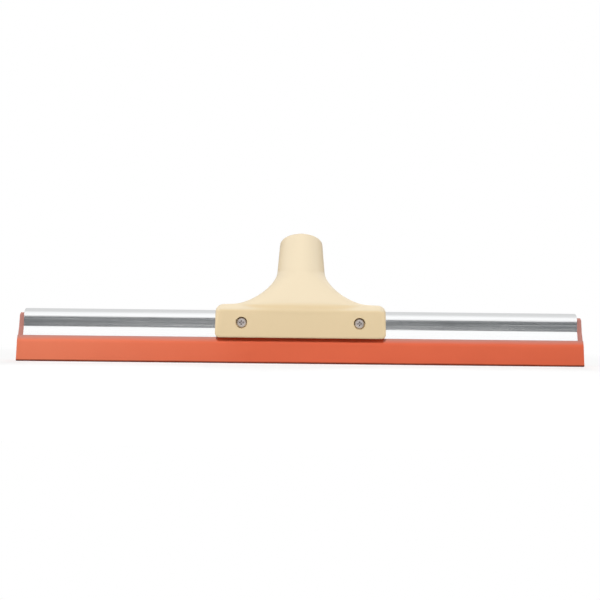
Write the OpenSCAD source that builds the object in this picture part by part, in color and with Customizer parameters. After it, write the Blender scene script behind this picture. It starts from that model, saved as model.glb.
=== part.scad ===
// Floor squeegee: a rubber blade pinched in a folded steel channel, with a moulded saddle clamped over the
// channel by two screws and a leaning round socket for the handle.
// X runs along the blade, +Y is the side the handle leans to, the blade's working edge lies on Z = 0.

/* [Rubber blade] */
// Length of the blade along its working edge
blade_len = 450; // [300:5:750]
// How much further the working edge reaches than the top edge, at each end
blade_flare = 1.5; // [0:0.25:3]
// Height of the rubber that shows under the frame
working_h = 20.5; // [14:0.5:30]
// Thickness of the rubber where it hangs free
blade_t = 17; // [15:0.2:19]
// Thickness of the rubber between the frame's lips
lip_t = 12; // [11:0.5:13]
// Height over which the rubber springs back below the lips
spring_h = 6; // [4:0.5:12]
// Thickness of the rubber where the frame pinches it
grip_t = 9; // [7:0.5:10]
// Space over the rubber, under the frame's crown
crown_gap = 2.5; // [1.5:0.25:4]
// How far the rubber's top edge stands out of the frame, at each end
end_overhang = 3.5; // [1:0.5:10]

/* [Frame channel] */
// Thickness of the sheet steel
sheet_t = 1; // [0.6:0.1:1.5]
// Height of the channel, from its lips to its crown
channel_h = 21.5; // [19:0.5:28]
// Height of the flared lips
lip_h = 7; // [4:0.5:9]
// Height of the rounded crown
crown_rise = 7; // [5.5:0.25:9]
// Bend radius where the wall turns out into the lip
lip_bend_r = 3; // [1.5:0.5:5]

/* [Saddle] */
// Width of the saddle along the blade
saddle_w = 135; // [125:1:180]
// Thickness of the saddle's walls beside the frame's lips
saddle_wall = 5; // [3.5:0.25:6]
// Thickness of the saddle over the frame's crown
saddle_roof = 4.7; // [3.5:0.1:8]
// How far the saddle's skirt hangs below the frame's lips
skirt_drop = 0.2; // [0:0.1:2]
// Rounding of the saddle's upper edges
top_round = 6.5; // [3:0.5:8]
// Rounding of the saddle's lower corners
bottom_round = 3.5; // [2:0.5:6]
// Bevel along the saddle's lower edges
bottom_bevel = 0.8; // [0.3:0.1:1.5]

/* [Handle socket] */
// Bore for the handle
bore_d = 28; // [22:0.5:30]
// Depth of the bore
bore_depth = 50; // [30:1:52]
// Wall round the bore at the mouth
mouth_wall = 4; // [2.5:0.25:6]
// Lead-in chamfer at the mouth
mouth_chamfer = 1; // [0.5:0.25:2]
// Length of the socket along its axis, from the saddle's top to the mouth
socket_len = 59; // [57:1:90]
// Lean of the socket from upright
socket_tilt = 28; // [20:1:35]
// How far behind the blade the socket's axis meets the saddle's top
root_back = 12.8; // [10:0.2:16]
// Taper of the socket's outside, per side
barrel_draft = 3.5; // [1:0.25:5]
// Height over the saddle at which the neck's flare begins
flare_rise = 27.7; // [20:0.1:32]
// How far the neck's flare spreads to each side
flare_run = 35.5; // [25:0.5:42]
// Roundness of the flare: 1 is a straight slope, 2 is a quarter ellipse
flare_power = 1.7; // [1.3:0.1:2.2]
// Slope of the heel under the socket, at the back
heel_slope = 40; // [30:1:50]
// Height of the heel's foot over the saddle's lower edge
heel_foot = 5; // [3:0.5:10]

/* [Clamp screws] */
// Distance from each screw to the saddle's end
screw_inset = 21; // [15:0.5:30]
// Height of the screws over the frame's lips
screw_h = 11.7; // [10:0.1:14]
// Thread diameter
screw_d = 4; // [3:0.5:5]
// Head diameter
head_d = 8; // [7:0.25:10]
// Head height
head_h = 2.4; // [1.8:0.1:3.2]
// How deep the head lies below the saddle's face
head_sunk = 0.6; // [0.2:0.1:1]
// Washer diameter
washer_d = 9; // [8:0.5:11]
// Washer thickness
washer_t = 0.8; // [0.5:0.1:1.2]
// Width of the nut across its flats
nut_af = 7; // [6:0.5:9]
// Height of the nut
nut_h = 3.2; // [2.4:0.1:4]
// Depth of the pocket for washer and nut
nut_pocket = 3; // [1:0.1:3.4]
// How far the screw's end stands out of the nut
tip_out = 1; // [0.5:0.25:3]

/* [Hidden] */
$fn = 48;

// Clearances
grip_gap = 0.05;   // rubber to sheet
fit_gap = 0.1;     // sheet to saddle
shank_gap = 0.3;   // screw to the saddle's and the frame's holes
pierce_gap = 0.1;  // screw to the hole pierced in the rubber
thread_gap = 0.05; // screw to nut
pocket_gap = 0.6;  // screw head and washer to their pockets
cut_over = 1;      // how far a cut runs past the face it opens

// Frame section: middle line of the sheet
wall_mid = grip_t / 2 + grip_gap + sheet_t / 2;
lip_mid = lip_t / 2 + grip_gap + sheet_t / 2;
lip_z = working_h;
crown_z = lip_z + channel_h;
crown_base_z = crown_z - crown_rise;
lip_a = atan((lip_mid - wall_mid) / lip_h);
bend_z = lip_z + lip_h + lip_bend_r * tan(lip_a / 2);
bend_steps = 4;
crown_steps = 28;
channel_len = blade_len - 2 * (blade_flare + end_overhang);

// Rubber section
blade_h = crown_z - sheet_t - crown_gap;
spring_steps = 8;
head_half = wall_mid - sheet_t / 2 - grip_gap;
head_rise = crown_rise - sheet_t - grip_gap;
head_top = head_half * sqrt(1 - pow((blade_h - crown_base_z) / head_rise, 2));

// Saddle
half_depth = lip_mid + sheet_t / 2 + fit_gap + saddle_wall;
saddle_z = lip_z - skirt_drop;
saddle_top = crown_z + fit_gap + saddle_roof;
top_steps = 32;
bottom_steps = 24;

// Socket
mouth_r = bore_d / 2 + mouth_wall;
barrel_drop = socket_len + saddle_top - saddle_z;
reach = saddle_w + barrel_drop;
heel_z = saddle_z + heel_foot;

// Neck: rings that narrow from the saddle's top and turn into the barrel's own section
neck_sink = 6;       // how deep the neck's foot is rooted in the saddle
neck_inset = 0.2;    // neck's skin inside the saddle's face and the barrel
neck_tuck = 3;       // how much the neck's first and last rings shrink
neck_tuck_rise = 6;  // how far above the flare the last ring lies
neck_bend = 1.5;     // softness of the bend where the neck starts to lean
foot_power = 4.5;    // squareness of the neck's section at its foot, where 2 is an ellipse
top_power = 2;       // and at its top
ring_points = 40;
flare_steps = 12;
flare_foot_a = 84;   // where on the flare's quarter curve the first ring lies
flare_z = saddle_top + flare_rise;
neck_half = barrel_r(flare_rise / cos(socket_tilt)) - neck_inset;
flare_x = neck_half + flare_run;

// Screws
screw_pitch = saddle_w - 2 * screw_inset;
screw_z = lip_z + screw_h;
head_seat = half_depth - head_sunk - head_h;
nut_seat = half_depth - nut_pocket;
screw_len = head_seat + nut_seat + washer_t + nut_h + tip_out;
head_dome_r = head_d;
recess_w = 4.2;      // span of the cross recess
recess_slot = 1;     // width of its slots
recess_h = 1.4;      // and their depth
tip_chamfer = 0.5;

// Radius of the barrel's outside at a height along its axis over the saddle's top
function barrel_r(s) = mouth_r + (socket_len - s) * tan(barrel_draft);

function mirrored(points) = [for (i = [len(points) - 1:-1:0]) [-points[i].x, points[i].y]];
function backwards(points) = [for (i = [len(points) - 1:-1:0]) points[i]];

// Point at the lip's cut edge, at a distance outside the sheet's middle line and below the cut
function lip_edge(off, drop = 0) = [
  lip_mid + off * cos(lip_a) + drop * sin(lip_a),
  lip_z + off * sin(lip_a) - drop * cos(lip_a)
];

// One wall of the channel from lip edge to crown, at a distance outside the sheet's middle line
function lip_side(off) = concat(
  [lip_edge(off)],
  [
    for (i = [bend_steps:-1:0])
      let (a = lip_a * i / bend_steps, r = lip_bend_r - off)
        [wall_mid + lip_bend_r - r * cos(a), bend_z - r * sin(a)]
  ]
);
function crown(off) = [
  for (i = [0:crown_steps])
    let (a = 180 * i / crown_steps)
      [(wall_mid + off) * cos(a), crown_base_z + (crown_rise - sheet_t / 2 + off) * sin(a)]
];
function channel_line(off) = concat(lip_side(off), crown(off), mirrored(lip_side(off)));

// Half length of the blade at a height
function blade_end(z) = blade_len / 2 - blade_flare * z / blade_h;

// Front and back of the barrel at a height, and its radius there
function height_on_axis(z) = (z - saddle_top) / cos(socket_tilt);
function axis_y(z) = root_back + (z - saddle_top) * tan(socket_tilt);
function barrel_half(z) = barrel_r(height_on_axis(z)) / cos(socket_tilt);

// Share of the way from the neck's foot to its top
function neck_share(z) = min(1, max(0, (z - saddle_top) / flare_rise));
function blend(a, b, share) = a + (b - a) * share;

// The neck's front turns softly from the saddle's face to the barrel's front, its back runs over in a curve
function neck_front(z) =
  let (face = neck_inset - half_depth, lean = axis_y(z) - barrel_half(z) + neck_inset)
    face + neck_bend * ln(1 + exp((lean - face) / neck_bend));
function neck_back(z) =
  blend(half_depth, axis_y(z) + barrel_half(z), pow(neck_share(z), 2)) - neck_inset;
function signed_pow(v, e) = sign(v) * pow(abs(v), e);
function flare_ring(a) = [
  flare_x - flare_run * pow(cos(a), 2 / flare_power),
  flare_z - flare_rise * pow(sin(a), 2 / flare_power)
];
function neck_rings() = concat(
  [[flare_ring(flare_foot_a).x - neck_tuck, saddle_top - neck_sink]],
  [for (i = [flare_steps:-1:0]) flare_ring(flare_foot_a * i / flare_steps)],
  [[neck_half - neck_tuck, flare_z + neck_tuck_rise]]
);
function neck_ring(half_w, z) =
  let (
    mid = (neck_back(z) + neck_front(z)) / 2,
    half_d = (neck_back(z) - neck_front(z)) / 2,
    power = blend(foot_power, top_power, neck_share(z))
  )
    [
      for (i = [0:ring_points - 1])
        let (a = 360 * i / ring_points)
          [
            half_w * signed_pow(cos(a), 2 / power),
            mid + half_d * signed_pow(sin(a), 2 / power),
            z
          ]
    ];

// Draws a Y-Z outline as a bar along X
module along_x(length) {
  rotate([90, 0, 90]) linear_extrude(height = length, center = true) children();
}

// Puts a shape drawn along +Z on the line of one screw, from front to back
module at_screw(side, y) {
  translate([side * screw_pitch / 2, y, screw_z]) rotate([-90, 0, 0]) children();
}

// Puts a shape drawn along +Z on the socket's axis, with 0 at the saddle's top
module on_socket_axis() {
  translate([0, root_back, saddle_top]) rotate([-socket_tilt, 0, 0]) children();
}

// Holes for both screws, from front to back
module screw_holes(gap) {
  for (side = [-1, 1])
    at_screw(side, -half_depth - cut_over)
      cylinder(d = screw_d + 2 * gap, h = 2 * (half_depth + cut_over));
}

// Block that straddles the frame, soft at the top and crisp along the skirt
module saddle_block() {
  hull()
    for (sx = [-1, 1], sy = [-1, 1]) {
      translate([
        sx * (saddle_w / 2 - top_round), sy * (half_depth - top_round), saddle_top - top_round
      ])
        sphere(r = top_round, $fn = top_steps);
      translate([sx * (saddle_w / 2 - bottom_round), sy * half_depth, saddle_z + bottom_round])
        rotate([sy * 90, 0, 0])
          cylinder(
            r1 = bottom_round - bottom_bevel, r2 = bottom_round, h = bottom_bevel, $fn = bottom_steps
          );
    }
}

// Flared neck, lofted through rings that lean back as they narrow
module neck() {
  rings = neck_rings();
  count = len(rings);
  points = [for (ring = rings) each neck_ring(ring.x, ring.y)];
  sides = [
    for (k = [0:count - 2], i = [0:ring_points - 1])
      let (j = (i + 1) % ring_points, low = k * ring_points, high = low + ring_points)
        [low + i, high + i, high + j, low + j]
  ];
  foot = [for (i = [0:ring_points - 1]) i];
  top = [for (i = [ring_points - 1:-1:0]) (count - 1) * ring_points + i];
  polyhedron(points, concat(sides, [foot, top]));
}

// Tapered barrel round the bore, cut flush with the saddle's face and sloped at the heel
module barrel() {
  intersection() {
    on_socket_axis()
      translate([0, 0, socket_len - barrel_drop])
        cylinder(r1 = barrel_r(socket_len - barrel_drop), r2 = mouth_r, h = barrel_drop);
    translate([-reach, neck_inset - half_depth, saddle_z + bottom_round])
      cube([2 * reach, 2 * reach, 2 * reach]);
    translate([0, half_depth, heel_z])
      rotate([heel_slope, 0, 0])
        translate([-reach, -reach, 0])
          cube([2 * reach, 2 * reach, 2 * reach]);
  }
}

module handle_bore() {
  on_socket_axis() {
    translate([0, 0, socket_len - bore_depth]) cylinder(d = bore_d, h = bore_depth + cut_over);
    translate([0, 0, socket_len - mouth_chamfer])
      cylinder(r1 = bore_d / 2, r2 = bore_d / 2 + 2 * mouth_chamfer, h = 2 * mouth_chamfer);
  }
}

// Tunnel for the frame, open at the bottom
module frame_tunnel() {
  line = channel_line(sheet_t / 2 + fit_gap);
  run = skirt_drop + 2 * cut_over;
  edge = line[0] + run * [tan(lip_a), -1];
  along_x(saddle_w + 2 * cut_over) polygon(concat([edge], line, [[-edge.x, edge.y]]));
}

module handle_socket() {
  color([0.93, 0.85, 0.70])
    difference() {
      union() {
        saddle_block();
        neck();
        barrel();
      }
      handle_bore();
      frame_tunnel();
      screw_holes(shank_gap);
      for (side = [-1, 1]) {
        at_screw(side, -half_depth - cut_over)
          cylinder(d = head_d + 2 * pocket_gap, h = half_depth + cut_over - head_seat);
        at_screw(side, nut_seat)
          cylinder(d = washer_d + 2 * pocket_gap, h = nut_pocket + cut_over);
      }
    }
}

module frame_channel() {
  color([0.78, 0.80, 0.82])
    difference() {
      along_x(channel_len)
        polygon(concat(channel_line(sheet_t / 2), backwards(channel_line(-sheet_t / 2))));
      screw_holes(shank_gap);
    }
}

module rubber_blade() {
  grip = -sheet_t / 2 - grip_gap;
  spring = lip_edge(sheet_t / 2, grip_gap);
  side = concat(
    [[blade_t / 2, 0]],
    [
      for (i = [0:spring_steps])
        let (a = 90 * (1 - i / spring_steps))
          [blend(spring.x, blade_t / 2, sin(a)), spring.y - spring_h * a / 90]
    ],
    [lip_edge(grip, grip_gap)],
    lip_side(grip),
    [[head_half, crown_base_z], [head_top, blade_h]]
  );
  low = -cut_over;
  high = blade_h + cut_over;
  color([0.86, 0.41, 0.29])
    difference() {
      intersection() {
        along_x(blade_len + 2 * cut_over) polygon(concat(side, mirrored(side)));
        rotate([90, 0, 0])
          linear_extrude(height = 2 * blade_t, center = true)
            polygon([
              [-blade_end(low), low], [blade_end(low), low],
              [blade_end(high), high], [-blade_end(high), high]
            ]);
      }
      screw_holes(pierce_gap);
    }
}

// Pan-head screw with a cross recess, head to the front
module clamp_screw(side) {
  color([0.72, 0.72, 0.70])
    at_screw(side, -head_seat) {
      difference() {
        translate([0, 0, -head_h])
          intersection() {
            cylinder(d = head_d, h = head_h);
            translate([0, 0, head_dome_r]) sphere(r = head_dome_r);
          }
        for (turn = [0, 90])
          rotate([0, 0, turn])
            translate([-recess_w / 2, -recess_slot / 2, -head_h - cut_over])
              cube([recess_w, recess_slot, recess_h + cut_over]);
      }
      cylinder(d = screw_d, h = screw_len - tip_chamfer);
      translate([0, 0, screw_len - tip_chamfer])
        cylinder(r1 = screw_d / 2, r2 = screw_d / 2 - tip_chamfer, h = tip_chamfer);
    }
}

module washer(side) {
  color([0.75, 0.76, 0.77])
    at_screw(side, nut_seat)
      difference() {
        cylinder(d = washer_d, h = washer_t);
        translate([0, 0, -cut_over]) cylinder(d = screw_d + 2 * shank_gap, h = washer_t + 2 * cut_over);
      }
}

module nut(side) {
  corner_r = nut_af / 2 / cos(30);
  color([0.70, 0.71, 0.72])
    at_screw(side, nut_seat + washer_t)
      difference() {
        intersection() {
          cylinder(r = corner_r, h = nut_h, $fn = 6);
          cylinder(r1 = corner_r + nut_h, r2 = nut_af / 2, h = nut_h);
        }
        translate([0, 0, -cut_over]) cylinder(d = screw_d + 2 * thread_gap, h = nut_h + 2 * cut_over);
      }
}

module clamp_screw_left() { clamp_screw(-1); }
module clamp_screw_right() { clamp_screw(1); }
module washer_left() { washer(-1); }
module washer_right() { washer(1); }
module nut_left() { nut(-1); }
module nut_right() { nut(1); }

handle_socket();
frame_channel();
rubber_blade();
clamp_screw_left();
clamp_screw_right();
washer_left();
washer_right();
nut_left();
nut_right();
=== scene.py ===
"""Looks of a floor squeegee head, built over its packed CAD frame and laid out as a Blender add-on.

Lengths are metres. X runs along the blade, +Y is the side the handle leans to, the blade stands on Z = 0.
"""
import math

import bmesh
import bpy
from bpy.props import FloatProperty, FloatVectorProperty, PointerProperty
from mathutils import Matrix, Vector


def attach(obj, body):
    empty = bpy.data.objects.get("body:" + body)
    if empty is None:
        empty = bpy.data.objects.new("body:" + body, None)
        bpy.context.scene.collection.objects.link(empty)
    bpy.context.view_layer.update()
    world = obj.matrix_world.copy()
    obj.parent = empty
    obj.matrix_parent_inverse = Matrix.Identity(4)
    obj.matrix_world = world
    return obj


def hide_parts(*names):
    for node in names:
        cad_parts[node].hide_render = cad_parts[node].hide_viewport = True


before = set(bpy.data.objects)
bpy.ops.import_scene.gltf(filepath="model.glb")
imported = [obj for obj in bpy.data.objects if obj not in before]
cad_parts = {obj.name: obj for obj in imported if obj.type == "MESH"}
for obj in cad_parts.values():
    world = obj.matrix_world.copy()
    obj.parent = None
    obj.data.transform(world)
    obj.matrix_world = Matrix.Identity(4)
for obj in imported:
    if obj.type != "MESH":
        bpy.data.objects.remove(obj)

bl_info = {
    "name": "Floor squeegee",
    "version": (1, 0, 0),
    "blender": (4, 5, 0),
    "location": "3D View > Sidebar > Squeegee",
    "description": "Builds a floor squeegee head over its CAD frame, with a small studio round it",
    "category": "Add Mesh",
}

MM = 0.001
SIDES = {"left": -1, "right": 1}
HEAD_BODY = "squeegee_head"

# Half the length of the bars that pierce the sheet and the strip for the screws
HOLE_REACH = 20 * MM

# Room in X, Y and Z in which the moulding is meshed
SOCKET_ROOM = ((-0.072, 0.072), (-0.015, 0.066), (0.016, 0.112))

# Studio lamps: name, place, width and height, and the setting that holds the power
LAMPS = (
    ("softbox", (-0.12, -1.02, 0.88), (0.35, 0.25), "key"),
    ("side_lamp_left", (-1.3, -0.25, 0.6), (0.5, 0.8), "sides"),
    ("side_lamp_right", (1.3, -0.25, 0.6), (0.5, 0.8), "sides"),
    ("back_lamp", (0.25, 1.15, 0.95), (0.7, 0.5), "back"),
)
LAMP_AIM = Vector((0, 0, 40 * MM))


# Settings

def length(name, description, millimetres):
    return FloatProperty(
        name=name, description=description, default=millimetres * MM, unit="LENGTH", precision=5
    )


def angle(name, description, degrees):
    return FloatProperty(
        name=name, description=description, default=math.radians(degrees), subtype="ANGLE"
    )


def number(name, description, value):
    return FloatProperty(name=name, description=description, default=value)


def watts(name, description, value):
    return FloatProperty(name=name, description=description, default=value, unit="POWER")


def colour(name, description, value):
    return FloatVectorProperty(
        name=name, description=description, default=value, subtype="COLOR", size=3, min=0, max=1
    )


def group(name, kind):
    return PointerProperty(name=name, description=kind.__doc__, type=kind)


class SaddleSettings(bpy.types.PropertyGroup):
    """Block that straddles the frame"""
    width: length("Width", "Size along the blade", 135)
    half_depth: length("Half depth", "From the blade's middle to the saddle's face", 12.15)
    bottom: length("Bottom", "Height of the skirt's edge over the floor", 20.3)
    top: length("Top", "Height of the saddle's top over the floor", 46.8)
    top_round: length("Top rounding", "Radius of the upper edges", 6.5)
    bottom_round: length("Bottom rounding", "Radius of the lower corners", 3.5)
    bottom_edge: length("Bottom edge", "Rounding along the skirt's edge", 0.8)
    fit_gap: length("Fit gap", "Play between the frame and the tunnel", 0.1)


class SocketSettings(bpy.types.PropertyGroup):
    """Neck and handle socket that rise from the saddle"""
    bore: length("Bore", "Diameter of the hole for the handle", 28)
    bore_depth: length("Bore depth", "Depth of that hole from the mouth", 50)
    mouth_wall: length("Mouth wall", "Wall round the bore at the mouth", 4)
    chamfer: length("Mouth chamfer", "Lead-in at the mouth", 1)
    rim_round: length("Rim rounding", "Softness of the mouth's outer edge", 0.8)
    reach: length("Length", "From the saddle's top to the mouth, along the axis", 59)
    lean: angle("Lean", "Slope of the socket from upright", 28)
    root_back: length("Root", "How far behind the blade the axis leaves the saddle", 12.8)
    draft: angle("Draft", "Taper of the socket's outside, per side", 3.5)
    flare_rise: length("Flare rise", "Height of the flare over the saddle", 27.7)
    flare_run: length("Flare run", "Spread of the flare to each side", 35.5)
    flare_power: number("Flare roundness", "1 is a straight slope, 2 a quarter ellipse", 1.65)
    foot_power: number("Foot squareness", "Section at the foot, where 2 is an ellipse", 4.5)
    front_bend: length("Front bend", "Softness of the turn from the face to the leaning front", 0.9)
    front_lead: length("Front lead", "How far the neck's foot stands out from the leaning cone", 0.8)
    foot_inset: length("Foot inset", "How far the neck's foot lies inside the saddle's face", 0.15)
    heel_slope: angle("Heel slope", "Slope of the heel under the socket", 40)
    heel_foot: length("Heel foot", "Height of the heel's foot over the skirt's edge", 5)
    heel_stop: length("Heel stop", "How far below the mouth the heel ends", 5)
    heel_root: length("Heel root", "How far behind the blade's middle the heel is rooted", 4)
    neck_root: length("Neck root", "Height of the neck's root over the skirt's edge", 8)
    fillet: length("Fillet", "Softness of the seams between the forms", 2.2)
    face_run: length("Face run", "Depth behind the face over which the neck's seam softens", 4)
    seam_run: length("Seam run", "Height below the flare's start over which the heel's seam softens", 10)
    voxel: length("Voxel", "Cell size at which the form is meshed", 0.65)


class ChannelSettings(bpy.types.PropertyGroup):
    """Folded sheet that pinches the rubber"""
    length: length("Length", "Length along the blade", 440)
    sheet: length("Sheet", "Thickness of the steel", 1)
    lip_z: length("Lip height", "Height of the lips over the floor", 20.5)
    lip_rise: length("Lip rise", "Height of the flared lips", 7)
    lip_mid: length("Lip reach", "From the middle to the sheet's middle line at the lip", 6.55)
    wall_mid: length("Wall reach", "From the middle to the sheet's middle line at the wall", 5.05)
    crown_z: length("Crown height", "Height of the crown over the floor", 42)
    crown_rise: length("Crown rise", "Height of the rounded crown", 7)
    bend: length("Bend", "Radius where the wall turns out into the lip", 3)
    edge: length("Edge", "Rounding of the sheet's cut ends", 0.2)


class BladeSettings(bpy.types.PropertyGroup):
    """Rubber strip"""
    length: length("Length", "Length of the working edge", 450)
    taper: length("End taper", "How much shorter the top is, at each end", 1.5)
    half: length("Half thickness", "Half the free rubber's thickness", 8.5)
    spring: length("Spring", "Height over which the rubber springs back below the lips", 6)
    height: length("Height", "Height of the strip", 38.5)
    top_half: length("Top half", "Half the thickness at the top edge", 3.4)
    swell: length("End swell", "How much the rubber springs back past the frame's ends", 0.7)
    edge: length("Edge rounding", "Rounding of the strip's edges", 0.8)
    grip_gap: length("Grip gap", "Play between the rubber and the sheet", 0.05)


class FastenerSettings(bpy.types.PropertyGroup):
    """Screws, washers and nuts"""
    spread: length("Spread", "From the middle to each screw", 46.5)
    height: length("Height", "Height of the screws over the floor", 32.2)
    thread: length("Thread", "Outer diameter of the thread", 4)
    core: length("Core", "Diameter at the thread's root", 3.3)
    pitch: length("Pitch", "Rise of the thread in one turn", 0.7)
    screw_length: length("Screw length", "From under the head to the tip", 23.3)
    thread_start: length("Thread start", "From under the head to the thread", 2.4)
    thread_length: length("Thread length", "Length of the thread", 20.1)
    head: length("Head", "Diameter of the head", 8)
    head_height: length("Head height", "Height of the head", 2.4)
    seat: length("Seat", "From the middle to the face under the head, and under the washer", 9.15)
    recess: length("Recess", "Span of the cross recess", 4.0)
    recess_slot: length("Recess slot", "Width of its slots", 1.05)
    recess_depth: length("Recess depth", "Depth of the recess", 1.7)
    hole: length("Hole", "Diameter of the screw holes", 4.6)
    counterbore: length("Counterbore", "Diameter of the pocket for the head", 9.2)
    pocket: length("Nut pocket", "Diameter of the pocket for the washer", 10.2)
    washer: length("Washer", "Diameter of the washer", 9)
    washer_height: length("Washer height", "Thickness of the washer", 0.8)
    nut: length("Nut", "Width across the nut's flats", 7)
    nut_height: length("Nut height", "Height of the nut", 3.2)


class FinishSettings(bpy.types.PropertyGroup):
    """Colours of the surfaces, among them a painted highlight on the plastic and painted light and shade on
    the rubber
    """
    plastic: colour("Plastic", "Moulded socket", (0.89, 0.708, 0.437))
    # Painted highlight: the plastic's paler colour where it faces up, toward the light
    painted_highlight: colour("Plastic with painted highlight", "Moulded socket where it faces the light", (0.845, 0.718, 0.515))
    steel: colour("Steel", "Bright sheet", (0.965, 0.975, 0.98))
    rubber: colour("Rubber", "Blade", (0.85, 0.165, 0.079))
    # Painted light: the rubber's paler colour toward the left end, where more light falls
    painted_left_light: colour("Rubber with painted light", "Blade's paler end", (0.91, 0.235, 0.125))
    # Painted shadow: the deep, dark rubber colour under the saddle's skirt
    painted_saddle_shadow: colour("Rubber in painted saddle shadow", "Blade in the shelter of the saddle", (0.60, 0.062, 0.012))
    # Painted shade: the duller, darker rubber along the lips and at the frame's ends
    painted_upper_shade: colour("Rubber in painted shade", "Blade along the lips and at the frame's ends", (0.575, 0.26, 0.215))
    zinc: colour("Zinc", "Screws, washers and nuts", (0.60, 0.555, 0.535))


class StageSettings(bpy.types.PropertyGroup):
    """Studio and camera"""
    focal: number("Focal length", "Focal length in widths of the picture", 818 / 600)
    distance: length("Distance", "From the camera to the blade's middle", 656)
    eye: length("Eye height", "Height of the camera over the floor", 33.4)
    across: length("Across", "How far the camera stands to the side", -0.6)
    pitch: angle("Pitch", "How far the camera looks up", 1.515)
    roll: angle("Roll", "How far the camera leans over", 0.62)
    key: watts("Key", "Power of the softbox", 12.2)
    sides: watts("Sides", "Power of each side lamp", 6)
    back: watts("Back", "Power of the lamp behind", 7)
    fill: number("Fill", "Strength of the room's light", 0.16)
    gleam: number("Gleam", "Strength of the white room in bright metal", 1.07)
    dim: number("Dim", "How much darker the room's back looks in bright metal", 0.38)
    low_dim: number("Low dim", "How much darker the room looks near the floor in bright metal", 0.55)
    floor: colour("Floor", "Floor as the camera and bright metal see it", (0.96, 0.96, 0.96))
    bounce: colour("Floor bounce", "Floor as it lights the object from below", (0.32, 0.32, 0.32))
    floor_glow: number("Floor glow", "Share of plain white in the floor round the object", 0.4)
    floor_near: length("Floor near", "From the middle to where the floor starts to fade to white", 240)
    floor_fade: length("Floor fade", "Distance over which the floor fades to white", 200)
    wall: colour("Wall", "Grey of the low wall round the studio", (0.125, 0.140, 0.150))
    wall_radius: length("Wall radius", "From the middle to the low wall", 1500)
    wall_height: length("Wall height", "Height of the low wall", 190)
    apron: length("Apron", "From the middle to the grey apron at the wall's foot", 350)


class SqueegeeSettings(bpy.types.PropertyGroup):
    """All settings of the squeegee"""
    saddle: group("Saddle", SaddleSettings)
    socket: group("Socket", SocketSettings)
    channel: group("Channel", ChannelSettings)
    blade: group("Blade", BladeSettings)
    fastener: group("Fastener", FastenerSettings)
    finish: group("Finish", FinishSettings)
    stage: group("Stage", StageSettings)


# Node trees

class Value:
    """One output of a node, which can be used in plain sums."""

    def __init__(self, graph, socket):
        self.graph, self.socket = graph, socket

    def out(self, name):
        return Value(self.graph, self.socket.node.outputs[name])

    def __add__(self, other):
        return self.graph.math("ADD", self, other)

    def __radd__(self, other):
        return self.graph.math("ADD", other, self)

    def __sub__(self, other):
        return self.graph.math("SUBTRACT", self, other)

    def __rsub__(self, other):
        return self.graph.math("SUBTRACT", other, self)

    def __mul__(self, other):
        return self.graph.math("MULTIPLY", self, other)

    def __rmul__(self, other):
        return self.graph.math("MULTIPLY", other, self)

    def __truediv__(self, other):
        return self.graph.math("DIVIDE", self, other)

    def __rtruediv__(self, other):
        return self.graph.math("DIVIDE", other, self)

    def __pow__(self, other):
        return self.graph.math("POWER", self, other)

    def __rpow__(self, other):
        return self.graph.math("POWER", other, self)

    def __neg__(self):
        return self.graph.math("MULTIPLY", self, -1)

    def __abs__(self):
        return self.graph.math("ABSOLUTE", self)

    def root(self):
        return self.graph.math("SQRT", self)

    def least(self, other):
        return self.graph.math("MINIMUM", self, other)

    def most(self, other):
        return self.graph.math("MAXIMUM", self, other)

    def within(self, low, high):
        return self.most(low).least(high)

    def joined(self, other, soft):
        return self.graph.math("SMOOTH_MIN", self, other, soft)

    def cut_to(self, other, soft):
        return self.graph.math("SMOOTH_MAX", self, other, soft)


class Graph:
    """A node tree that is written as sums of values."""

    def __init__(self, tree):
        self.tree = tree

    def add(self, kind, settings=None, sockets=None, out=0):
        """One output of a new node, which gets its settings first and then its sockets."""
        node = self.tree.nodes.new(kind)
        for name, value in (settings or {}).items():
            setattr(node, name, value)
        for name, value in (sockets or {}).items():
            if isinstance(value, Value):
                self.tree.links.new(value.socket, node.inputs[name])
            else:
                node.inputs[name].default_value = value
        return Value(self, node.outputs[out]) if len(node.outputs) else None

    def math(self, operation, *terms):
        return self.add("ShaderNodeMath", {"operation": operation}, dict(enumerate(terms)))

    def parts(self, vector):
        """X, Y and Z of a vector."""
        split = self.add("ShaderNodeSeparateXYZ", sockets={0: vector})
        return split, split.out("Y"), split.out("Z")

    def blend(self, share, first, second):
        """Mix of two colours."""
        return self.add(
            "ShaderNodeMix", {"data_type": "RGBA"}, {0: share, 6: first, 7: second}, out=2
        )


def geometry_tree(name, inputs, build):
    """A geometry tree with named inputs. build(graph, values) returns the geometry."""
    tree = bpy.data.node_groups.new(name, "GeometryNodeTree")
    for label, (kind, _) in inputs.items():
        tree.interface.new_socket(label, in_out="INPUT", socket_type=kind)
    tree.interface.new_socket("Geometry", in_out="OUTPUT", socket_type="NodeSocketGeometry")
    graph = Graph(tree)
    entry = tree.nodes.new("NodeGroupInput")
    values = {label: Value(graph, entry.outputs[label]) for label in inputs}
    shape = graph.add("GeometryNodeRealizeInstances", sockets={0: build(graph, values)})
    shape = graph.add(
        "GeometryNodeSetMaterial", sockets={"Geometry": shape, "Material": values["Material"]}
    )
    graph.add("NodeGroupOutput", sockets={0: shape})
    return tree


def grown(name, inputs, build):
    """Mesh that a geometry tree makes from the given inputs."""
    tree = geometry_tree(name, inputs, build)
    holder = bpy.data.objects.new(name, bpy.data.meshes.new(name))
    bpy.context.scene.collection.objects.link(holder)
    modifier = holder.modifiers.new(name, "NODES")
    modifier.node_group = tree
    for item in tree.interface.items_tree:
        if item.in_out == "INPUT":
            modifier[item.identifier] = inputs[item.name][1]
    holder.update_tag()
    view = bpy.context.evaluated_depsgraph_get()
    mesh = bpy.data.meshes.new_from_object(holder.evaluated_get(view))
    bpy.data.objects.remove(holder)
    if not mesh.polygons:
        raise RuntimeError(f"{name}: the geometry tree made no faces")
    return mesh


# Mesh building

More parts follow.
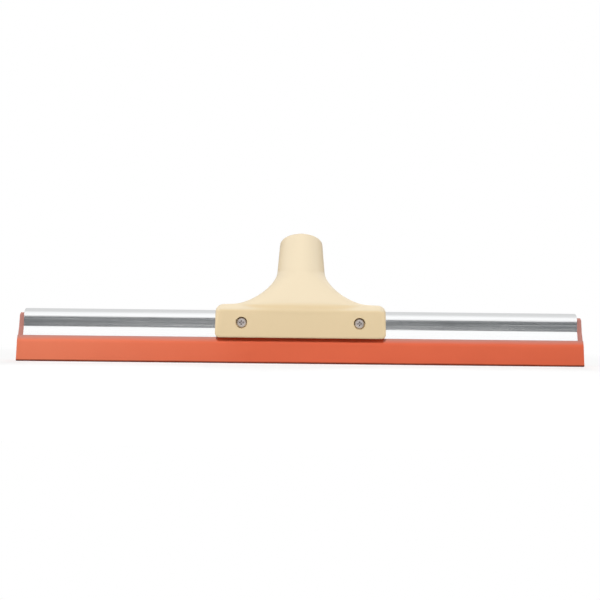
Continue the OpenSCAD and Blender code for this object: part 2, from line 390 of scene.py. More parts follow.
def new_mesh(name, points, faces):
    mesh = bpy.data.meshes.new(name)
    mesh.from_pydata([tuple(p) for p in points], [], faces)
    mesh.validate()
    return mesh


def outward(mesh):
    """Turns all faces outward."""
    shape = bmesh.new()
    shape.from_mesh(mesh)
    bmesh.ops.recalc_face_normals(shape, faces=shape.faces)
    shape.to_mesh(mesh)
    shape.free()
    return mesh


def loft(name, rings):
    """Closed skin through rings with the same number of points."""
    count = len(rings[0])
    points = [p for ring in rings for p in ring]
    faces = []
    for k in range(len(rings) - 1):
        low, high = k * count, (k + 1) * count
        for i in range(count):
            j = (i + 1) % count
            faces.append((low + i, low + j, high + j, high + i))
    last = (len(rings) - 1) * count
    faces += [tuple(reversed(range(count))), tuple(last + i for i in range(count))]
    return outward(new_mesh(name, points, faces))


def lathe(name, profile, place, steps=64):
    """Solid of revolution: profile is (radius, height) from one end on the axis to the other."""
    turns = [2 * math.pi * i / steps for i in range(steps)]
    rings = [
        [place @ Vector((radius * math.cos(t), radius * math.sin(t), height)) for t in turns]
        for radius, height in profile
    ]
    return loft(name, rings)


def combined(name, meshes):
    """One mesh of several."""
    shape = bmesh.new()
    for mesh in meshes:
        shape.from_mesh(mesh)
    whole = bpy.data.meshes.new(name)
    shape.to_mesh(whole)
    shape.free()
    return whole


def carved(mesh, cutters, operation="DIFFERENCE"):
    """Mesh cut by, or kept inside, each of the cutters."""
    scene = bpy.context.scene.collection
    holder = bpy.data.objects.new(mesh.name, mesh)
    tools = [bpy.data.objects.new(cutter.name, cutter) for cutter in cutters]
    for item in [holder, *tools]:
        scene.objects.link(item)
    for tool in tools:
        step = holder.modifiers.new(tool.name, "BOOLEAN")
        step.operation, step.solver, step.object = operation, "MANIFOLD", tool
    view = bpy.context.evaluated_depsgraph_get()
    result = bpy.data.meshes.new_from_object(holder.evaluated_get(view))
    for item in [holder, *tools]:
        bpy.data.objects.remove(item)
    if not result.polygons:
        raise RuntimeError(f"{mesh.name}: nothing is left after the cut")
    return result


def piece(name, mesh, material, body, node, crease=40):
    """Shown piece: smooth mesh with creases, its material, and its place in the frame."""
    mesh.name = name
    mesh.materials.clear()
    mesh.materials.append(material)
    for face in mesh.polygons:
        face.material_index = 0
    mesh.shade_smooth()
    mesh.set_sharp_from_angle(angle=math.radians(crease))
    item = bpy.data.objects.new(name, mesh)
    bpy.context.scene.collection.objects.link(item)
    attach(item, body)
    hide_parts(node)
    return item


def on_screw(fastener, side, y):
    """Place on a screw's line, drawn along +Z from front to back."""
    turned = Matrix.Rotation(-math.pi / 2, 4, "X")
    return Matrix.Translation((side * fastener.spread, y, fastener.height)) @ turned


def arc(centre, radius, start, end, steps):
    """Points round a centre, from one angle to another."""
    return [
        (
            centre[0] + radius * math.cos(start + (end - start) * i / steps),
            centre[1] + radius * math.sin(start + (end - start) * i / steps),
        )
        for i in range(steps + 1)
    ]


def lip_lean(channel):
    return math.atan((channel.lip_mid - channel.wall_mid) / channel.lip_rise)


def lip_edge(channel, offset, drop=0.0):
    """Point at the lip's cut edge, beside the sheet's middle line and below the cut."""
    sine, cosine = math.sin(lip_lean(channel)), math.cos(lip_lean(channel))
    return channel.lip_mid + offset * cosine + drop * sine, channel.lip_z + offset * sine - drop * cosine


def channel_side(channel, offset, steps=8):
    """One wall of the channel, from the lip's edge to the crown, beside the sheet's middle line."""
    lean = lip_lean(channel)
    bend_z = channel.lip_z + channel.lip_rise + channel.bend * math.tan(lean / 2)
    return [lip_edge(channel, offset)] + arc(
        (channel.wall_mid + channel.bend, bend_z), channel.bend - offset, math.pi + lean, math.pi, steps
    )


def channel_line(channel, offset, steps=48):
    """Outline of the channel in Y and Z, from lip to lip, beside the sheet's middle line."""
    side = channel_side(channel, offset)
    rise = (channel.crown_rise - channel.sheet / 2 + offset) / (channel.wall_mid + offset)
    half_turn = arc((0, 0), channel.wall_mid + offset, 0, math.pi, steps)
    crown = [(y, channel.crown_z - channel.crown_rise + z * rise) for y, z in half_turn]
    return side + crown + [(-y, z) for y, z in reversed(side)]


def screw_holes(fastener, name):
    """Two round bars that pierce what the screws pass through."""
    radius = fastener.hole / 2
    profile = [(radius, -HOLE_REACH), (radius, HOLE_REACH)]
    return [
        lathe(f"{name}_{label}", profile, on_screw(fastener, side, 0), 48) for label, side in SIDES.items()
    ]


# Materials

def surface(name, build, **constants):
    """The one material of that name. Its even values are constants, its varying ones come from build."""
    material = bpy.data.materials.get(name) or bpy.data.materials.new(name)
    material.use_nodes = True
    graph = Graph(material.node_tree)
    graph.tree.nodes.clear()
    place = graph.add("ShaderNodeTexCoord", out="Object")
    sockets = {label.replace("_", " "): value for label, value in constants.items()}
    shader = graph.add("ShaderNodeBsdfPrincipled", sockets={**sockets, **build(graph, place)})
    graph.add("ShaderNodeOutputMaterial", sockets={"Surface": shader})
    return material


def grain(graph, place, scale, detail=3, stretch=(1, 1, 1)):
    """Noise over the object's own coordinates, finer where stretch is larger."""
    spread = graph.add(
        "ShaderNodeVectorMath", {"operation": "MULTIPLY"}, {0: place, 1: stretch}
    )
    return graph.add("ShaderNodeTexNoise", sockets={"Vector": spread, "Scale": scale, "Detail": detail})


def bump(graph, strength, depth, height):
    return graph.add("ShaderNodeBump", sockets={"Strength": strength, "Distance": depth, "Height": height})


def tinted(rgb, factor):
    """Colour made darker or lighter, with its alpha."""
    return (*[min(1, c * factor) for c in rgb], 1)


def plastic_material(finish):
    def build(graph, place):
        cloud, fine = grain(graph, place, 14), grain(graph, place, 900)
        facing_up = graph.parts(graph.add("ShaderNodeTexCoord", out="Normal"))[2]
        shade = graph.blend(cloud, tinted(finish.plastic, 0.97), tinted(finish.plastic, 1.03))
        # Painted highlight: paler where the surface faces up, toward the light
        pale = ((facing_up - 0.1) / 0.3).within(0, 1)
        return {
            "Base Color": graph.blend(pale, shade, tinted(finish.painted_highlight, 1)),
            "Roughness": 0.36 + 0.10 * fine,
            "Normal": bump(graph, 0.12, 0.1 * MM, fine),
        }
    return surface("cream_plastic", build, IOR=1.5)


def steel_material(finish):
    def build(graph, place):
        streak = grain(graph, place, 1, 4, (2.5, 600, 600))
        cloud = grain(graph, place, 22, 2, (1, 3, 3))
        ripple = grain(graph, place, 1, 2, (9, 260, 260))
        return {
            "Base Color": graph.blend(streak, tinted(finish.steel, 0.96), tinted(finish.steel, 1.02)),
            "Roughness": 0.10 + 0.14 * streak + 0.06 * cloud,
            "Normal": bump(graph, 1.0, 0.1 * MM, ripple + 0.8 * streak),
        }
    return surface("bright_sheet", build, Metallic=1.0)


def rubber_material(finish):
    def build(graph, place):
        cloud, pores = grain(graph, place, 35), grain(graph, place, 1400, 2)
        skin = grain(graph, place, 60, 3, (0.4, 1, 1))
        fresh = graph.blend(
            0.6 * cloud + 0.4 * skin, tinted(finish.rubber, 0.93), tinted(finish.rubber, 1.07)
        )
        along, _, height = graph.parts(place)

        # Painted light and shade: paler to the left as the light falls from that side, painted shade along
        # the lips and at the ends, a deeper painted shadow under the saddle, and a dark painted shadow
        # along the bottom edge
        left_light_share = ((-30 * MM - along) / (170 * MM) + 0.3 * (cloud - 0.5)).within(0, 1)
        # Painted shade: duller and darker above the lips' height
        upper_shade_share = ((height - 16.6 * MM) / (3.4 * MM) + 0.4 * (skin - 0.5)).within(0, 1)
        # Painted shadow: nearly black along the bottom edge
        painted_edge_shadow = ((1.8 * MM - height) / MM + 0.5 * (skin - 0.5)).within(0, 1)
        painted_light_and_shade = graph.blend(left_light_share, fresh, tinted(finish.painted_left_light, 1))
        # Painted shadow: deeper and darker where the rubber lies under the saddle
        under_saddle_share = ((67 * MM - abs(along)) / (2 * MM)).within(0, 1)
        painted_shade = graph.blend(under_saddle_share, tinted(finish.painted_upper_shade, 1), tinted(finish.painted_saddle_shadow, 1))
        painted_light_and_shade = graph.blend(upper_shade_share, painted_light_and_shade, painted_shade)
        return {
            "Base Color": graph.blend(painted_edge_shadow, painted_light_and_shade, tinted(finish.rubber, 0.22)),
            "Roughness": 0.58 + 0.16 * pores,
            "Normal": bump(graph, 0.25, 0.15 * MM, pores),
        }
    return surface("orange_rubber", build, IOR=1.5, Specular_IOR_Level=0.2)


def zinc_material(finish):
    def build(graph, place):
        cloud, fine = grain(graph, place, 260), grain(graph, place, 2500, 2)
        return {
            "Base Color": graph.blend(cloud, tinted(finish.zinc, 0.86), tinted(finish.zinc, 1.1)),
            "Roughness": 0.38 + 0.16 * fine,
        }
    return surface("plated_fastener", build, Metallic=1.0)


# Forms

def rounded(first, second):
    """Distance from the corner in which two faces meet, given the distances from both."""
    outside = (first.most(0) ** 2 + second.most(0) ** 2).root()
    return outside + first.most(second).least(0)


def eased(share, run_in):
    """Runs from 0 to 1 as share does, but starts level and picks up its slope over run_in."""
    return share * share * (1 + run_in) / (share + run_in)


def socket_form(graph, v):
    """Saddle, neck, socket and heel as one soft-seamed distance field, meshed."""
    place = graph.add("GeometryNodeInputPosition")
    x, y, z = graph.parts(place)
    x = abs(x)
    soft = v["Fillet"]

    # Saddle: a plate with round corners, whose edges soften from the crisp skirt to the top
    up = ((z - v["Bottom"]) / (v["Top"] - v["Bottom"])).within(0, 1)
    corner = v["Bottom Round"] + (v["Top Round"] - v["Bottom Round"]) * up
    edge_z = abs(z - (v["Top"] + v["Bottom"]) / 2) - (v["Top"] - v["Bottom"]) / 2 + corner
    plate = rounded(x - v["Width"] / 2 + corner, edge_z) - corner
    edge = v["Bottom Edge"] + (v["Top Round"] - v["Bottom Edge"]) * up
    saddle = rounded(plate + edge, abs(y) - v["Half Depth"] + edge) - edge

    # Socket: a cone on the leaning axis
    sine, cosine = graph.math("SINE", v["Lean"]), graph.math("COSINE", v["Lean"])
    slope = graph.math("TANGENT", v["Draft"])
    high, back = z - v["Top"], y - v["Root"]
    along = back * sine + high * cosine
    mouth = v["Bore"] / 2 + v["Wall"]
    radius = mouth + (v["Reach"] - high / cosine) * slope
    axis_y = v["Root"] + high * sine / cosine

    # Neck: level sections that spread down the flare, from the socket's ellipse to a soft rectangle.
    # The drop stops short of 1, where the flare runs level and its slope has no limit
    power = v["Flare Power"]
    share = (high / v["Rise"]).within(0, 1)
    fall = ((v["Rise"] - high) / v["Rise"]).within(0, 1)
    drop = eased(fall, 0.04).least(0.9935)
    rest = 1 - drop ** power
    neck_half = mouth + (v["Reach"] - v["Rise"] / cosine) * slope
    half = neck_half + v["Run"] * (1 - rest ** (1 / power)) + (radius - neck_half).least(0)

    # Front and back of each section. Below the saddle's rounding the foot is tucked in behind the face
    face = v["Foot Inset"] - v["Half Depth"]
    tuck = 0.3 * (-high - v["Top Round"]).most(0)
    lean = (axis_y - radius / cosine - face - v["Front Lead"] * (1 - share)) / v["Front Bend"]
    near = face + tuck + v["Front Bend"] * graph.math("LOGARITHM", 1 + graph.math("EXPONENT", lean), math.e)
    far = 0.9 * v["Half Depth"] - tuck
    far = far + (axis_y + radius / cosine - far) * share ** 2
    middle, deep = (near + far) / 2, (far - near) / 2
    square = 2 + (v["Foot Power"] - 2) * eased(fall, 0.12)
    a, b = x / half, abs(y - middle) / deep
    size = ((a ** square + b ** square) ** (1 / square)).most(0.05)

    # The section's size over its rate of change is about the distance from its skin
    steep = v["Run"] / v["Rise"] * drop ** (power - 1) * rest ** (1 / power - 1)
    rate_x, rate_y = a ** (square - 1) / half, b ** (square - 1) / deep
    rate = size ** (1 - square) * (rate_x ** 2 * (1 + steep ** 2) + rate_y ** 2).root()
    neck = (size - 1) / rate.most(5)
    neck = neck.cut_to(along - v["Reach"], v["Rim"])
    neck = neck.most(v["Bottom"] + v["Neck Root"] - z)

    # Heel: the socket's underside, carried down to the saddle's back
    heel = radius * (((x / radius) ** 2 + ((y - axis_y) * cosine / radius) ** 2).root() - 1)
    heel_sine, heel_cosine = graph.math("SINE", v["Heel Slope"]), graph.math("COSINE", v["Heel Slope"])
    under = (y - v["Half Depth"]) * heel_sine - (z - v["Bottom"] - v["Heel Foot"]) * heel_cosine
    heel = heel.cut_to(under, soft).cut_to(along + v["Heel Stop"] - v["Reach"], soft)
    heel = heel.cut_to(v["Heel Root"] - y, soft)

    # Seams: the heel's softens down from the flare's start, the neck's back from the saddle's face
    seam = soft * ((v["Rise"] - high) / v["Seam Run"]).within(0, 1)
    joint = soft * (0.4 + 0.6 * ((y + v["Half Depth"]) / v["Face Run"]).within(0, 1))
    form = saddle.joined(neck, joint).joined(heel, seam)
    cells = {}
    for axis, (low, top) in zip("XYZ", SOCKET_ROOM):
        cells[f"Resolution {axis}"] = (top - low) / v["Voxel"]
    volume = graph.add("GeometryNodeVolumeCube", sockets={
        "Density": -form, "Background": -1.0,
        "Min": tuple(low for low, _ in SOCKET_ROOM), "Max": tuple(top for _, top in SOCKET_ROOM), **cells,
    })
    return graph.add("GeometryNodeVolumeToMesh", sockets={"Volume": volume, "Threshold": 0.0})


def thread_form(graph, v):
    """Ridge of a thread: a small wedge swept along a helix."""
    turns = v["Length"] / v["Pitch"]
    helix = graph.add("GeometryNodeCurveSpiral", sockets={
        "Resolution": 32, "Rotations": turns, "Start Radius": v["Radius"], "End Radius": v["Radius"],
        "Height": v["Length"],
    })
    helix = graph.add("GeometryNodeSetCurveNormal", {"mode": "Z_UP"}, {"Curve": helix})
    wedge = graph.add("GeometryNodeCurvePrimitiveCircle", {"mode": "RADIUS"}, {
        "Resolution": 4, "Radius": v["Pitch"] * 0.5,
    })
    return graph.add("GeometryNodeCurveToMesh", sockets={
        "Curve": helix, "Profile Curve": wedge, "Fill Caps": True,
    })


# Operators

class SqueegeeOperator:
    """What all the operators share: each builds its pieces from the scene's settings"""
    bl_options = {"REGISTER", "UNDO"}

    def execute(self, context):
        self.build(context.scene.squeegee)
        return {"FINISHED"}


class SQUEEGEE_OT_socket(SqueegeeOperator, bpy.types.Operator):
    """Build the moulded saddle with its handle socket"""
    bl_idname = "squeegee.socket"
    bl_label = "Handle Socket"

    def build(self, settings):
        saddle, socket = settings.saddle, settings.socket
        material = plastic_material(settings.finish)
        floats = {
            "Width": saddle.width, "Half Depth": saddle.half_depth,
            "Bottom": saddle.bottom, "Top": saddle.top, "Top Round": saddle.top_round,
            "Bottom Round": saddle.bottom_round, "Bottom Edge": saddle.bottom_edge,
            "Bore": socket.bore, "Wall": socket.mouth_wall, "Rim": socket.rim_round,
            "Reach": socket.reach, "Root": socket.root_back, "Lean": socket.lean, "Draft": socket.draft,
            "Rise": socket.flare_rise, "Run": socket.flare_run, "Flare Power": socket.flare_power,
            "Foot Power": socket.foot_power, "Foot Inset": socket.foot_inset,
            "Front Bend": socket.front_bend, "Front Lead": socket.front_lead,
            "Neck Root": socket.neck_root, "Heel Slope": socket.heel_slope,
            "Heel Foot": socket.heel_foot, "Heel Stop": socket.heel_stop, "Heel Root": socket.heel_root,
            "Fillet": socket.fillet, "Face Run": socket.face_run, "Seam Run": socket.seam_run,
            "Voxel": socket.voxel,
        }
        inputs = {label: ("NodeSocketFloat", value) for label, value in floats.items()}
        inputs["Material"] = ("NodeSocketMaterial", material)
        form = outward(grown("handle_socket_form", inputs, socket_form))
        piece(
            "handle_socket_moulding", carved(form, self.cutters(settings)), material,
            HEAD_BODY, "handle_socket",
        )

    def cutters(self, settings):
        """Solids taken out of the moulding: bore, the frame's tunnel, the screws' holes and pockets."""
        saddle, socket = settings.saddle, settings.socket
        channel, fastener = settings.channel, settings.fastener
        axis = Matrix.Translation((0, socket.root_back, saddle.top)) @ Matrix.Rotation(-socket.lean, 4, "X")
        radius, over = socket.bore / 2, 4 * MM
        bore = lathe("bore", [
            (radius, socket.reach - socket.bore_depth), (radius, socket.reach - socket.chamfer),
            (radius + socket.chamfer, socket.reach), (radius + socket.chamfer + over, socket.reach + over),
        ], axis, 128)
        line = channel_line(channel, channel.sheet / 2 + saddle.fit_gap)
        edge = (line[0][0] + over * math.tan(lip_lean(channel)), line[0][1] - over)
        outline = [edge, *line, (-edge[0], edge[1])]
        end = saddle.width / 2 + over
        tunnel = loft("tunnel", [[Vector((x, y, z)) for y, z in outline] for x in (-end, end)])
        deep = saddle.half_depth + over
        seat, hole = fastener.seat, fastener.hole / 2
        front, rear = fastener.counterbore / 2, fastener.pocket / 2
        profile = [(front, -deep), (front, -seat), (hole, -seat), (hole, seat), (rear, seat), (rear, deep)]
        pockets = [
            lathe(f"pocket_{label}", profile, on_screw(fastener, side, 0)) for label, side in SIDES.items()
        ]
        return [bore, tunnel, *pockets]


class SQUEEGEE_OT_channel(SqueegeeOperator, bpy.types.Operator):
    """Build the folded steel channel"""
    bl_idname = "squeegee.channel"
    bl_label = "Frame Channel"

    def build(self, settings):
        channel, fastener = settings.channel, settings.fastener
        end, edge = channel.length / 2, channel.edge
        rings = []
        for x, inset in ((-end, edge), (edge - end, 0), (end - edge, 0), (end, edge)):
            outer = channel_line(channel, channel.sheet / 2 - inset)
            inner = channel_line(channel, inset - channel.sheet / 2)
            rings.append([Vector((x, y, z)) for y, z in outer + inner[::-1]])
        sheet = carved(loft("sheet", rings), screw_holes(fastener, "sheet_hole"))
        piece(
            "frame_channel_sheet", sheet, steel_material(settings.finish),
            HEAD_BODY, "frame_channel", crease=30,
        )


class SQUEEGEE_OT_blade(SqueegeeOperator, bpy.types.Operator):
    """Build the rubber strip"""
    bl_idname = "squeegee.blade"
    bl_label = "Rubber Blade"

    def outline(self, blade, channel, shrink, swell):
        """Section of the strip in Y and Z: square working edge, pinched waist, plain top."""
        side = arc((blade.half - blade.edge, blade.edge), blade.edge - shrink, -math.pi / 2, 0, 6)
        grip = -channel.sheet / 2 - blade.grip_gap - shrink
        start_y, start_z = lip_edge(channel, channel.sheet / 2 - shrink, blade.grip_gap)
        steps = 16
        for i in range(steps + 1):
            turn = math.pi / 2 * (1 - i / steps)
            swing = (blade.half - shrink - start_y) * math.sin(turn)
            side.append((start_y + swing, start_z - blade.spring * (1 - i / steps)))
        side += [lip_edge(channel, grip, blade.grip_gap), *channel_side(channel, grip)]
        top, brow = blade.height - shrink, blade.top_half - shrink
        side += [(brow + blade.edge, top - 2 * blade.edge), (brow - blade.edge, top)]
        low = channel.lip_z - blade.spring
        side = [(y + swell * max(0, min(1, (z - low) / blade.spring)), z) for y, z in side]
        return side + [(-y, z) for y, z in reversed(side)]

    def build(self, settings):
        blade, channel, fastener = settings.blade, settings.channel, settings.fastener
        # Place, swell and shrink of each section, from the middle to the rounded end.
        # The shrink stays below the edge's radius, so that the last section keeps its corners
        end = blade.length / 2
        clear, brink = channel.length / 2 + blade.taper, end - blade.edge
        most_shrink = 0.99 * blade.edge
        swell_steps, edge_steps = 6, 4
        stations = [(0.0, 0.0, 0.0), (clear / 2, 0.0, 0.0), (clear, 0.0, 0.0)]
        for i in range(1, swell_steps + 1):
            share = i / swell_steps
            swell = blade.swell * math.sin(share * math.pi / 2)
            stations.append((clear + (brink - clear) * share, swell, 0.0))
        for i in range(1, edge_steps + 1):
            turn = math.pi / 2 * i / edge_steps
            shrink = most_shrink * (1 - math.cos(turn))
            stations.append((brink + blade.edge * math.sin(turn), blade.swell, shrink))
        rings = []
        for sign in (-1, 1):
            for x, swell, shrink in (reversed(stations) if sign < 0 else stations[1:]):
                rings.append([
                    Vector((sign * (x - blade.taper * (z / blade.height) * (x / end)), y, z))
                    for y, z in self.outline(blade, channel, shrink, swell)
                ])
        strip = carved(loft("strip", rings), screw_holes(fastener, "strip_hole"))
        piece(
            "rubber_blade_strip", strip, rubber_material(settings.finish),
            HEAD_BODY, "rubber_blade", crease=30,
        )


class SQUEEGEE_OT_screws(SqueegeeOperator, bpy.types.Operator):
    """Build the two clamp screws"""
    bl_idname = "squeegee.screws"
    bl_label = "Clamp Screws"

    def recess(self, fastener, place):
        """Tapered cross that is sunk into a head."""
        top = -fastener.head_height
        rings = []
        for depth, share in ((top - MM, 1.15), (top, 1.0), (top + fastener.recess_depth, 0.45)):
            long, wide = fastener.recess / 2 * share, fastener.recess_slot / 2 * (0.6 + 0.4 * share)
            corner = [Vector((long, wide)), Vector((wide, wide)), Vector((wide, long))]
            ring = []
            for turn in range(4):
                spin = Matrix.Rotation(turn * math.pi / 2, 2)
                ring += [spin @ point for point in corner]
            rings.append([place @ Vector((point.x, point.y, depth)) for point in ring])
        return loft("recess", rings)

    def profile(self, fastener):
        """Half section of a screw, from the top of its domed head to its tip."""
        pole, edge, point = 0.02 * MM, 0.15 * MM, 0.5 * MM
        head, core, tip = fastener.head / 2, fastener.core / 2, fastener.screw_length
        steps = 10
        turns = [math.pi / 2 * i / steps for i in reversed(range(steps))]
        dome = [
            (head * math.cos(t), -fastener.head_height * (0.45 + 0.55 * math.sin(t))) for t in turns
        ]
        return [
            (pole, -fastener.head_height), *dome, (head, -edge), (head - edge, 0),
            (core, 0), (core, tip - point), (core - point, tip), (pole, tip),
        ]

    def build(self, settings):
        fastener = settings.fastener
        material = zinc_material(settings.finish)
        for label, side in SIDES.items():
            place = on_screw(fastener, side, -fastener.seat)
            body = lathe("screw_body", self.profile(fastener), place, 96)
            body = carved(body, [self.recess(fastener, place)])
            ridge = grown("screw_thread", {
                "Radius": ("NodeSocketFloat", fastener.core / 2),
                "Pitch": ("NodeSocketFloat", fastener.pitch),
                "Length": ("NodeSocketFloat", fastener.thread_length),
                "Material": ("NodeSocketMaterial", material),
            }, thread_form)
            ridge.transform(place @ Matrix.Translation((0, 0, fastener.thread_start)))
            piece(
                f"clamp_screw_{label}_body", combined("screw", [body, ridge]), material,
                f"{label}_screw", f"clamp_screw_{label}", crease=35,
            )


class SQUEEGEE_OT_nuts(SqueegeeOperator, bpy.types.Operator):
    """Build the washers and nuts behind the saddle"""
    bl_idname = "squeegee.nuts"
    bl_label = "Washers and Nuts"

    def build(self, settings):
        fastener = settings.fastener
        material = zinc_material(settings.finish)
        for label, side in SIDES.items():
            seat = on_screw(fastener, side, fastener.seat)
            top = on_screw(fastener, side, fastener.seat + fastener.washer_height)
            piece(
                f"washer_{label}_ring", self.washer(fastener, seat), material,
                HEAD_BODY, f"washer_{label}", crease=35,
            )
            piece(
                f"nut_{label}_hexagon", self.nut(fastener, top), material,
                f"{label}_nut", f"nut_{label}", crease=25,
            )

    def washer(self, fastener, place):
        rim, bore, top, edge = fastener.washer / 2, fastener.hole / 2, fastener.washer_height, 0.15 * MM
        disc = lathe("washer", [(rim - edge, 0), (rim, edge), (rim, top - edge), (rim - edge, top)], place)
        hole = lathe("washer_hole", [(bore, -MM), (bore, top + MM)], place)
        return carved(disc, [hole])

    def nut(self, fastener, place):
        top, bevel = fastener.nut_height, math.pi / 6
        corner, face = fastener.nut / 2 / math.cos(bevel), 0.97 * fastener.nut / 2
        rise = (corner - face) * math.tan(bevel)
        prism = lathe("nut", [(corner, 0), (corner, top)], place, 6)
        bevelled = [(face, 0), (corner, rise), (corner, top - rise), (face, top)]
        chamfer = lathe("nut_chamfer", bevelled, place)
        bore, lead = fastener.thread / 2 + 0.05 * MM, 0.35 * MM
        wide = bore + lead + MM
        hole = lathe("nut_hole", [(wide, -MM), (bore, lead), (bore, top - lead), (wide, top + MM)], place)
        return carved(carved(prism, [chamfer], "INTERSECT"), [hole])


class SQUEEGEE_OT_stage(SqueegeeOperator, bpy.types.Operator):
    """Set up the floor, the low wall, the lights and the camera"""
    bl_idname = "squeegee.stage"
    bl_label = "Studio"

    def build(self, settings):
        stage = settings.stage
        bpy.context.scene.view_settings.view_transform = "Standard"
        self.floor(stage)
        self.wall(stage)
        self.world(stage)
        for name, place, size, power in LAMPS:
            self.lamp(name, place, size, getattr(stage, power))
        self.camera(stage)

    def rays(self, graph):
        """Two values: 1 for the camera's rays, and 1 for mirrored or bent ones."""
        path = graph.add("ShaderNodeLightPath")
        return path.out("Is Camera Ray"), path.out("Is Glossy Ray").most(path.out("Is Transmission Ray"))

    def backdrop(self, name, mesh, material):
        """Object of the studio, which isn't part of the squeegee."""
        mesh.materials.append(material)
        item = bpy.data.objects.new(name, mesh)
        bpy.context.scene.collection.objects.link(item)
        return item

    def floor(self, stage):
        """Pale floor that fades to white away from the object."""
        material = bpy.data.materials.new("studio_floor")
        material.use_nodes = True
        graph = Graph(material.node_tree)
        graph.tree.nodes.clear()
        place = graph.add("ShaderNodeTexCoord", out="Object")
        far = graph.add("ShaderNodeVectorMath", {"operation": "LENGTH"}, {0: place}, out="Value")
        seen, mirrored = self.rays(graph)
        shown = seen.most(mirrored)
        away = ((far - stage.floor_near) / stage.floor_fade).within(0, 1)
        fade = (stage.floor_glow + (1 - stage.floor_glow) * away) * shown
        pale = graph.blend(shown, tinted(stage.bounce, 1), tinted(stage.floor, 1))
        matte = graph.add("ShaderNodeBsdfDiffuse", sockets={"Color": pale})
        white = graph.add("ShaderNodeEmission", sockets={"Color": (1, 1, 1, 1), "Strength": 1.0})
        mixed = graph.add("ShaderNodeMixShader", sockets={0: fade, 1: matte, 2: white})
        graph.add("ShaderNodeOutputMaterial", sockets={"Surface": mixed})
        reach = 6
        corners = [(-reach, -reach, 0), (reach, -reach, 0), (reach, reach, 0), (-reach, reach, 0)]
        self.backdrop("studio_floor", new_mesh("floor", corners, [(0, 1, 2, 3)]), material)

    def wall(self, stage):
        """Low grey wall all round, which bright metal mirrors as a dark band."""
        def build(graph, place):
            # Lighter to both sides, darkest at its foot
            across, _, high = graph.parts(place)
            sideways = (abs(across) / 0.7).within(0, 1)
            grey = graph.blend(sideways, tinted(stage.wall, 0.7), tinted(stage.wall, 1.3))
            foot = (1 - high / (50 * MM)).within(0, 1)
            return {"Base Color": graph.blend(foot, grey, tinted(stage.wall, 0.5))}
        material = surface("studio_wall", build, Roughness=1.0)
        steps = 64
        section = ((stage.apron, MM), (stage.wall_radius, MM), (stage.wall_radius, stage.wall_height))
        points, faces = [], []
        for i in range(steps):
            turn = 2 * math.pi * i / steps
            points += [(radius * math.cos(turn), radius * math.sin(turn), z) for radius, z in section]
            j = (i + 1) % steps
            faces += [(3 * i + k, 3 * i + k + 1, 3 * j + k + 1, 3 * j + k) for k in range(2)]
        item = self.backdrop("studio_wall", new_mesh("wall", points, faces), material)
        item.visible_camera = item.visible_diffuse = item.visible_shadow = False

    def world(self, stage):
        """White room, which bright metal sees dimmer behind the object and near the floor."""
        world = bpy.data.worlds.new("studio")
        bpy.context.scene.world = world
        world.use_nodes = True
        graph = Graph(world.node_tree)
        graph.tree.nodes.clear()
        seen, mirrored = self.rays(graph)
        _, behind, high = graph.parts(graph.add("ShaderNodeTexCoord", out="Generated"))
        dim = stage.dim * ((behind + 0.8) / 0.6).within(0, 1)
        dim = dim.most(stage.low_dim * (1 - high / 0.3).within(0, 1))
        strength = stage.fill + (1 - stage.fill) * seen.most(stage.gleam * mirrored * (1 - dim))
        room = graph.add("ShaderNodeBackground", sockets={"Color": (1, 1, 1, 1), "Strength": strength})
        graph.add("ShaderNodeOutputWorld", sockets={"Surface": room})

    def lamp(self, name, place, size, power):
        """Soft rectangular lamp that looks at the object and isn't mirrored by it."""
        lamp = bpy.data.lights.new(name, "AREA")
        lamp.shape, lamp.size, lamp.size_y, lamp.energy = "RECTANGLE", size[0], size[1], power
        item = bpy.data.objects.new(name, lamp)
        item.location, item.visible_glossy = place, False
        item.rotation_euler = (LAMP_AIM - item.location).to_track_quat("-Z", "Y").to_euler()
        bpy.context.scene.collection.objects.link(item)

    def camera(self, stage):
        lens = bpy.data.cameras.new("photo_view")
        lens.sensor_fit, lens.sensor_width = "HORIZONTAL", 36.0
        lens.lens = lens.sensor_width * stage.focal
        lens.clip_start = 0.01
        item = bpy.data.objects.new("photo_view", lens)
        upright = Matrix.Rotation(math.pi / 2 + stage.pitch, 4, "X") @ Matrix.Rotation(stage.roll, 4, "Z")
        item.matrix_world = Matrix.Translation((stage.across, -stage.distance, stage.eye)) @ upright
        bpy.context.scene.collection.objects.link(item)
        bpy.context.scene.camera = item


class SQUEEGEE_PT_panel(bpy.types.Panel):
    """Buttons and settings of the squeegee"""
    bl_idname = "SQUEEGEE_PT_panel"
    bl_label = "Floor Squeegee"
    bl_space_type = "VIEW_3D"
    bl_region_type = "UI"
    bl_category = "Squeegee"

    def draw(self, context):
        for kind in OPERATORS:
            self.layout.operator(kind.bl_idname)
        settings = context.scene.squeegee
        for part in SqueegeeSettings.__annotations__:
            values = getattr(settings, part)
            box = self.layout.box()
            box.label(text=part.capitalize())
            for name in values.__annotations__:
                box.prop(values, name)


GROUPS = (
    SaddleSettings, SocketSettings, ChannelSettings, BladeSettings, FastenerSettings, FinishSettings,
    StageSettings, SqueegeeSettings,
)
OPERATORS = (
    SQUEEGEE_OT_socket, SQUEEGEE_OT_channel, SQUEEGEE_OT_blade, SQUEEGEE_OT_screws, SQUEEGEE_OT_nuts,
    SQUEEGEE_OT_stage,
)


def register():
    for kind in (*GROUPS, *OPERATORS, SQUEEGEE_PT_panel):
        bpy.utils.register_class(kind)
    bpy.types.Scene.squeegee = group("Squeegee", SqueegeeSettings)


def unregister():
    del bpy.types.Scene.squeegee
    for kind in reversed((*GROUPS, *OPERATORS, SQUEEGEE_PT_panel)):
        bpy.utils.unregister_class(kind)


def main():
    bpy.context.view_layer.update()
    register()
    bpy.ops.squeegee.socket()
    bpy.ops.squeegee.channel()
    bpy.ops.squeegee.blade()
    bpy.ops.squeegee.screws()
    bpy.ops.squeegee.nuts()
    bpy.ops.squeegee.stage()


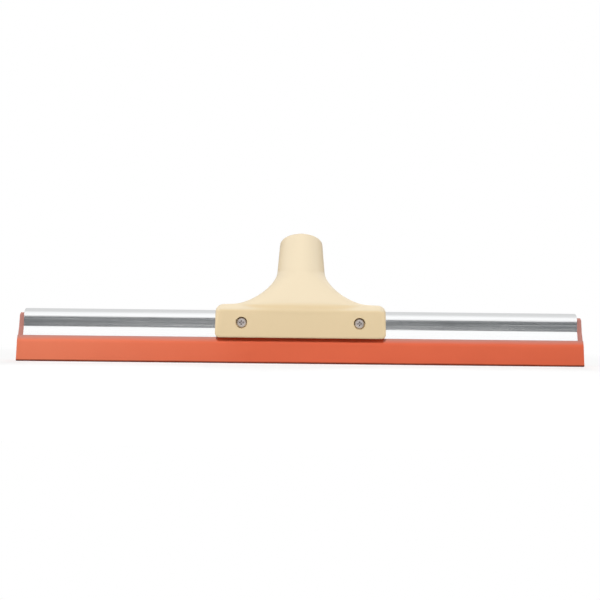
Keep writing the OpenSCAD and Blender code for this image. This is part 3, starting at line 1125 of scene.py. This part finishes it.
if __name__ == "__main__":
    main()
